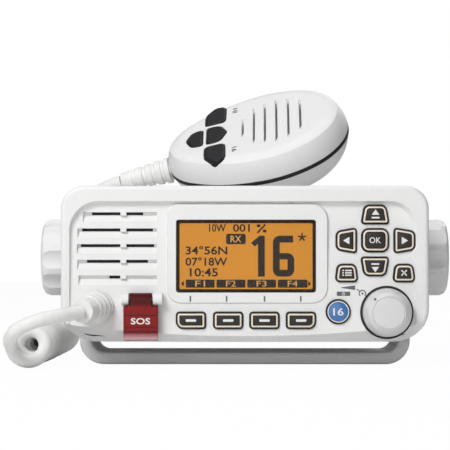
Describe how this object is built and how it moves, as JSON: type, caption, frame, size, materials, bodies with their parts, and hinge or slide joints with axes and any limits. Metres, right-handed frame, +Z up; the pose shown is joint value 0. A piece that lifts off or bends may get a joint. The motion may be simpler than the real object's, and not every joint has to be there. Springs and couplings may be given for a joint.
{
  "type": "vhf marine radio",
  "caption": "Compact fixed-mount marine radio with a loudspeaker grille, amber display, keypad, tilting bracket and a fist microphone on a curly cord.",
  "frame": {"origin": "centre of the bracket's four screw holes, on the underside of its base", "axes": "+X to the viewer's right across the panel, +Y from the panel back through the chassis, +Z up out of the surface that the bracket is screwed to"},
  "size_m": [0.1912, 0.1803, 0.125],
  "materials": {
    "panel_white": "fine satin white moulding",
    "bracket_white": "satin white",
    "mic_white": "fine satin white",
    "chassis_white": "painted die casting",
    "key_charcoal": "painted silicone cap",
    "key_blue": "blue cap",
    "distress_red": "clear red cover",
    "window_clear": "clear window",
    "black_plastic": "matt black",
    "lcd_amber": "amber dot-matrix display",
    "circuit_board": "solder mask",
    "silicone": "dark silicone",
    "speaker_paper": "black paper cone",
    "steel": "stainless",
    "brass": "turned brass",
    "nickel": "nickel plate",
    "insulator": "insulator",
    "cord_white": "white cord jacket",
    "mic_black": "black rubber"
  },
  "bodies": {
    "radio_head": {"front_panel": "panel_white", "chassis": "chassis_white", "display_window": "window_clear", "display_frame": "black_plastic", "encoder_body": "black_plastic", "speaker_frame": "black_plastic", "lcd_module": "lcd_amber", "front_board": "circuit_board", "main_board": "circuit_board", "keypad_mat": "silicone", "panel_seal": "silicone", "speaker_membrane": "silicone", "friction_washers": "silicone", "rear_glands": "silicone", "speaker_cone": "speaker_paper", "hinge_pin": "steel", "panel_screws": "steel", "power_shield": "steel", "side_inserts": "brass", "antenna_socket": "nickel", "antenna_insulator": "insulator", "cord_gland": "cord_white", "cord_lead": "cord_white", "cord_coil": "cord_white", "cord_tail": "cord_white"},
    "bracket_body": {"bracket": "bracket_white"},
    "knob_left": {"bracket_knob_left": "bracket_white", "knob_stud_left": "steel"},
    "knob_right": {"bracket_knob_right": "bracket_white", "knob_stud_right": "steel"},
    "encoder": {"encoder_rotor": "black_plastic"},
    "volume": {"volume_knob": "panel_white", "volume_shaft": "steel"},
    "cover": {"distress_cover": "distress_red"},
    "handset": {"mic_front_shell": "mic_white", "mic_rear_shell": "mic_white", "mic_seal": "mic_black", "mic_board": "circuit_board", "mic_speaker": "black_plastic", "hanger_button": "mic_white", "mic_screws": "steel", "mic_strain_relief": "cord_white"},
    "talk": {"talk_key": "mic_white"},
    "key_up_body": {"key_up": "key_charcoal"},
    "key_down_body": {"key_down": "key_charcoal"},
    "key_left_body": {"key_left": "key_charcoal"},
    "key_right_body": {"key_right": "key_charcoal"},
    "key_enter_body": {"key_enter": "key_charcoal"},
    "key_menu_body": {"key_menu": "key_charcoal"},
    "key_clear_body": {"key_clear": "key_charcoal"},
    "key_soft_1_body": {"key_soft_1": "key_charcoal"},
    "key_soft_2_body": {"key_soft_2": "key_charcoal"},
    "key_soft_3_body": {"key_soft_3": "key_charcoal"},
    "key_soft_4_body": {"key_soft_4": "key_charcoal"},
    "key_channel_body": {"key_channel": "key_blue"},
    "distress_key_body": {"distress_key": "distress_red"},
    "mic_key_high_body": {"mic_key_high": "mic_black"},
    "mic_key_low_body": {"mic_key_low": "mic_black"},
    "mic_key_rear_body": {"mic_key_rear": "mic_black"},
    "mic_key_fore_body": {"mic_key_fore": "mic_black"}
  },
  "joints": [
    {"name": "bracket_tilt", "type": "hinge", "parent": "radio_head", "child": "bracket_body", "pos_m": [0, 0, 0.0468], "axis": [1, 0, 0], "range_deg": [-10, 15]},
    {"name": "knob_left_turn", "type": "hinge", "parent": "radio_head", "child": "knob_left", "pos_m": [-0.08, 0, 0.0468], "axis": [-1, 0, 0], "continuous": true},
    {"name": "knob_right_turn", "type": "hinge", "parent": "radio_head", "child": "knob_right", "pos_m": [0.08, 0, 0.0468], "axis": [1, 0, 0], "continuous": true},
    {"name": "volume_turn", "type": "hinge", "parent": "radio_head", "child": "encoder", "pos_m": [0.0603, -0.045, 0.0233], "axis": [0, -1, 0], "continuous": true},
    {"name": "volume_push", "type": "slide", "parent": "encoder", "child": "volume", "axis": [0, 1, 0], "range_m": [0, 0.0005], "stiffness_N_per_m": 2000, "springref_m": -0.001},
    {"name": "cover_hinge", "type": "hinge", "parent": "radio_head", "child": "cover", "pos_m": [-0.044, -0.0537, 0.029], "axis": [-1, 0, 0], "range_deg": [0, 105], "stiffness_Nm_per_rad": 0.01, "springref_deg": -28.65},
    {"name": "handset_lift", "type": "slide", "parent": "radio_head", "child": "handset", "axis": [0, 0, 1], "range_m": [0, 0.06]},
    {"name": "talk_press", "type": "slide", "parent": "handset", "child": "talk", "axis": [-0.0074, -0.8499, -0.5269], "range_m": [0, 0.0012], "stiffness_N_per_m": 1500, "springref_m": -0.001},
    {"name": "key_up_press", "type": "slide", "parent": "radio_head", "child": "key_up_body", "axis": [0, 1, 0], "range_m": [0, 0.0008], "stiffness_N_per_m": 1500, "springref_m": -0.001},
    {"name": "key_down_press", "type": "slide", "parent": "radio_head", "child": "key_down_body", "axis": [0, 1, 0], "range_m": [0, 0.0008], "stiffness_N_per_m": 1500, "springref_m": -0.001},
    {"name": "key_left_press", "type": "slide", "parent": "radio_head", "child": "key_left_body", "axis": [0, 1, 0], "range_m": [0, 0.0008], "stiffness_N_per_m": 1500, "springref_m": -0.001},
    {"name": "key_right_press", "type": "slide", "parent": "radio_head", "child": "key_right_body", "axis": [0, 1, 0], "range_m": [0, 0.0008], "stiffness_N_per_m": 1500, "springref_m": -0.001},
    {"name": "key_enter_press", "type": "slide", "parent": "radio_head", "child": "key_enter_body", "axis": [0, 1, 0], "range_m": [0, 0.0008], "stiffness_N_per_m": 1500, "springref_m": -0.001},
    {"name": "key_menu_press", "type": "slide", "parent": "radio_head", "child": "key_menu_body", "axis": [0, 1, 0], "range_m": [0, 0.0008], "stiffness_N_per_m": 1500, "springref_m": -0.001},
    {"name": "key_clear_press", "type": "slide", "parent": "radio_head", "child": "key_clear_body", "axis": [0, 1, 0], "range_m": [0, 0.0008], "stiffness_N_per_m": 1500, "springref_m": -0.001},
    {"name": "key_soft_1_press", "type": "slide", "parent": "radio_head", "child": "key_soft_1_body", "axis": [0, 1, 0], "range_m": [0, 0.0008], "stiffness_N_per_m": 1500, "springref_m": -0.001},
    {"name": "key_soft_2_press", "type": "slide", "parent": "radio_head", "child": "key_soft_2_body", "axis": [0, 1, 0], "range_m": [0, 0.0008], "stiffness_N_per_m": 1500, "springref_m": -0.001},
    {"name": "key_soft_3_press", "type": "slide", "parent": "radio_head", "child": "key_soft_3_body", "axis": [0, 1, 0], "range_m": [0, 0.0008], "stiffness_N_per_m": 1500, "springref_m": -0.001},
    {"name": "key_soft_4_press", "type": "slide", "parent": "radio_head", "child": "key_soft_4_body", "axis": [0, 1, 0], "range_m": [0, 0.0008], "stiffness_N_per_m": 1500, "springref_m": -0.001},
    {"name": "key_channel_press", "type": "slide", "parent": "radio_head", "child": "key_channel_body", "axis": [0, 1, 0], "range_m": [0, 0.0008], "stiffness_N_per_m": 1500, "springref_m": -0.001},
    {"name": "distress_key_press", "type": "slide", "parent": "radio_head", "child": "distress_key_body", "axis": [0, 1, 0], "range_m": [0, 0.0008], "stiffness_N_per_m": 1500, "springref_m": -0.001},
    {"name": "mic_key_high_press", "type": "slide", "parent": "handset", "child": "mic_key_high_body", "axis": [0.2661, 0.5062, -0.8203], "range_m": [0, 0.0006], "stiffness_N_per_m": 1500, "springref_m": -0.001},
    {"name": "mic_key_low_press", "type": "slide", "parent": "handset", "child": "mic_key_low_body", "axis": [0.2661, 0.5062, -0.8203], "range_m": [0, 0.0006], "stiffness_N_per_m": 1500, "springref_m": -0.001},
    {"name": "mic_key_rear_press", "type": "slide", "parent": "handset", "child": "mic_key_rear_body", "axis": [0.2661, 0.5062, -0.8203], "range_m": [0, 0.0006], "stiffness_N_per_m": 1500, "springref_m": -0.001},
    {"name": "mic_key_fore_press", "type": "slide", "parent": "handset", "child": "mic_key_fore_body", "axis": [0.2661, 0.5062, -0.8203], "range_m": [0, 0.0006], "stiffness_N_per_m": 1500, "springref_m": -0.001}
  ]
}
